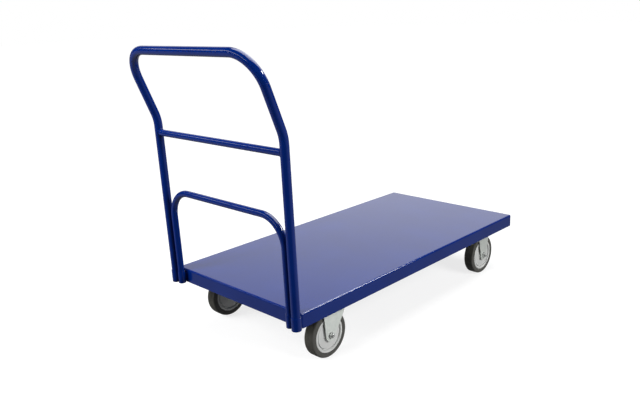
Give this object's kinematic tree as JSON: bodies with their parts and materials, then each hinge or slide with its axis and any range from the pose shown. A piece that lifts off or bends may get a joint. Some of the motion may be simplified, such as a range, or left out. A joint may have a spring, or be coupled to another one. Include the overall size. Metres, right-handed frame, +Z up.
{
  "type": "platform cart",
  "caption": "Flat steel deck on casters, with a tall lift-out push handle and a lower hoop that stand in sockets at one end.",
  "frame": {"origin": "bottom centre of the whole cart's box at rest, on the floor", "axes": "+X along the deck away from the push handle, +Y to the left side, +Z up"},
  "size_m": [1.3268, 0.6158, 0.9588],
  "materials": {
    "powder_coat": "semi-gloss dark blue powder coat",
    "zinc_plating": "dull zinc-plated pressed steel",
    "bright_zinc": "bright zinc-plated fasteners",
    "bearing_steel": "ground bearing steel, greased",
    "wheel_centre_plastic": "light grey moulded polyolefin",
    "tyre_rubber": "dark grey rubber"
  },
  "bodies": {
    "root": {"deck_pan": "powder_coat", "caster_channel_handle_end": "powder_coat", "caster_channel_front": "powder_coat", "deck_rib_1": "powder_coat", "deck_rib_2": "powder_coat", "handle_socket_right": "powder_coat", "handle_socket_left": "powder_coat", "hoop_socket_right": "powder_coat", "hoop_socket_left": "powder_coat", "swivel_plate_right": "zinc_plating", "swivel_plate_left": "zinc_plating", "swivel_race_right": "zinc_plating", "swivel_race_left": "zinc_plating", "kingpin_right": "zinc_plating", "kingpin_left": "zinc_plating", "fixed_bracket_right": "zinc_plating", "fixed_bracket_left": "zinc_plating", "axle_sleeve_fixed_right": "bearing_steel", "axle_sleeve_fixed_left": "bearing_steel", "axle_bolt_fixed_right": "bright_zinc", "axle_bolt_fixed_left": "bright_zinc", "axle_nut_fixed_right": "bright_zinc", "axle_nut_fixed_left": "bright_zinc", "plate_bolt_swivel_right_1": "bright_zinc", "plate_bolt_swivel_right_2": "bright_zinc", "plate_bolt_swivel_right_3": "bright_zinc", "plate_bolt_swivel_right_4": "bright_zinc", "plate_bolt_swivel_left_1": "bright_zinc", "plate_bolt_swivel_left_2": "bright_zinc", "plate_bolt_swivel_left_3": "bright_zinc", "plate_bolt_swivel_left_4": "bright_zinc", "plate_bolt_fixed_right_1": "bright_zinc", "plate_bolt_fixed_right_2": "bright_zinc", "plate_bolt_fixed_right_3": "bright_zinc", "plate_bolt_fixed_right_4": "bright_zinc", "plate_bolt_fixed_left_1": "bright_zinc", "plate_bolt_fixed_left_2": "bright_zinc", "plate_bolt_fixed_left_3": "bright_zinc", "plate_bolt_fixed_left_4": "bright_zinc"},
    "push_handle": {"push_handle_tube": "powder_coat", "handle_crossbar": "powder_coat"},
    "lower_hoop": {"lower_hoop_tube": "powder_coat"},
    "swivel_fork_right": {"fork_right": "zinc_plating", "ball_ring_right": "bearing_steel", "axle_sleeve_swivel_right": "bearing_steel", "axle_bolt_swivel_right": "bright_zinc", "axle_nut_swivel_right": "bright_zinc"},
    "swivel_fork_left": {"fork_left": "zinc_plating", "ball_ring_left": "bearing_steel", "axle_sleeve_swivel_left": "bearing_steel", "axle_bolt_swivel_left": "bright_zinc", "axle_nut_swivel_left": "bright_zinc"},
    "wheel_swivel_right": {"hub_swivel_right": "wheel_centre_plastic", "tyre_swivel_right": "tyre_rubber"},
    "wheel_swivel_left": {"hub_swivel_left": "wheel_centre_plastic", "tyre_swivel_left": "tyre_rubber"},
    "wheel_fixed_right": {"hub_fixed_right": "wheel_centre_plastic", "tyre_fixed_right": "tyre_rubber"},
    "wheel_fixed_left": {"hub_fixed_left": "wheel_centre_plastic", "tyre_fixed_left": "tyre_rubber"}
  },
  "joints": [
    {"name": "swivel_right", "type": "hinge", "parent": "root", "child": "swivel_fork_right", "pos_m": [-0.34801, -0.241, 0.161], "axis": [0, 0, 1], "continuous": true},
    {"name": "swivel_left", "type": "hinge", "parent": "root", "child": "swivel_fork_left", "pos_m": [-0.34801, 0.241, 0.161], "axis": [0, 0, 1], "continuous": true},
    {"name": "wheel_spin_swivel_right", "type": "hinge", "parent": "swivel_fork_right", "child": "wheel_swivel_right", "pos_m": [-0.38301, -0.241, 0.076], "axis": [0, 1, 0], "continuous": true},
    {"name": "wheel_spin_swivel_left", "type": "hinge", "parent": "swivel_fork_left", "child": "wheel_swivel_left", "pos_m": [-0.38301, 0.241, 0.076], "axis": [0, 1, 0], "continuous": true},
    {"name": "wheel_spin_fixed_right", "type": "hinge", "parent": "root", "child": "wheel_fixed_right", "pos_m": [0.51499, -0.241, 0.076], "axis": [0, 1, 0], "continuous": true},
    {"name": "wheel_spin_fixed_left", "type": "hinge", "parent": "root", "child": "wheel_fixed_left", "pos_m": [0.51499, 0.241, 0.076], "axis": [0, 1, 0], "continuous": true},
    {"name": "handle_lift", "type": "slide", "parent": "root", "child": "push_handle", "axis": [-0.0192, 0, 0.9998], "range_m": [0, 0.045]},
    {"name": "hoop_lift", "type": "slide", "parent": "root", "child": "lower_hoop", "axis": [-0.0192, 0, 0.9998], "range_m": [0, 0.045]}
  ]
}
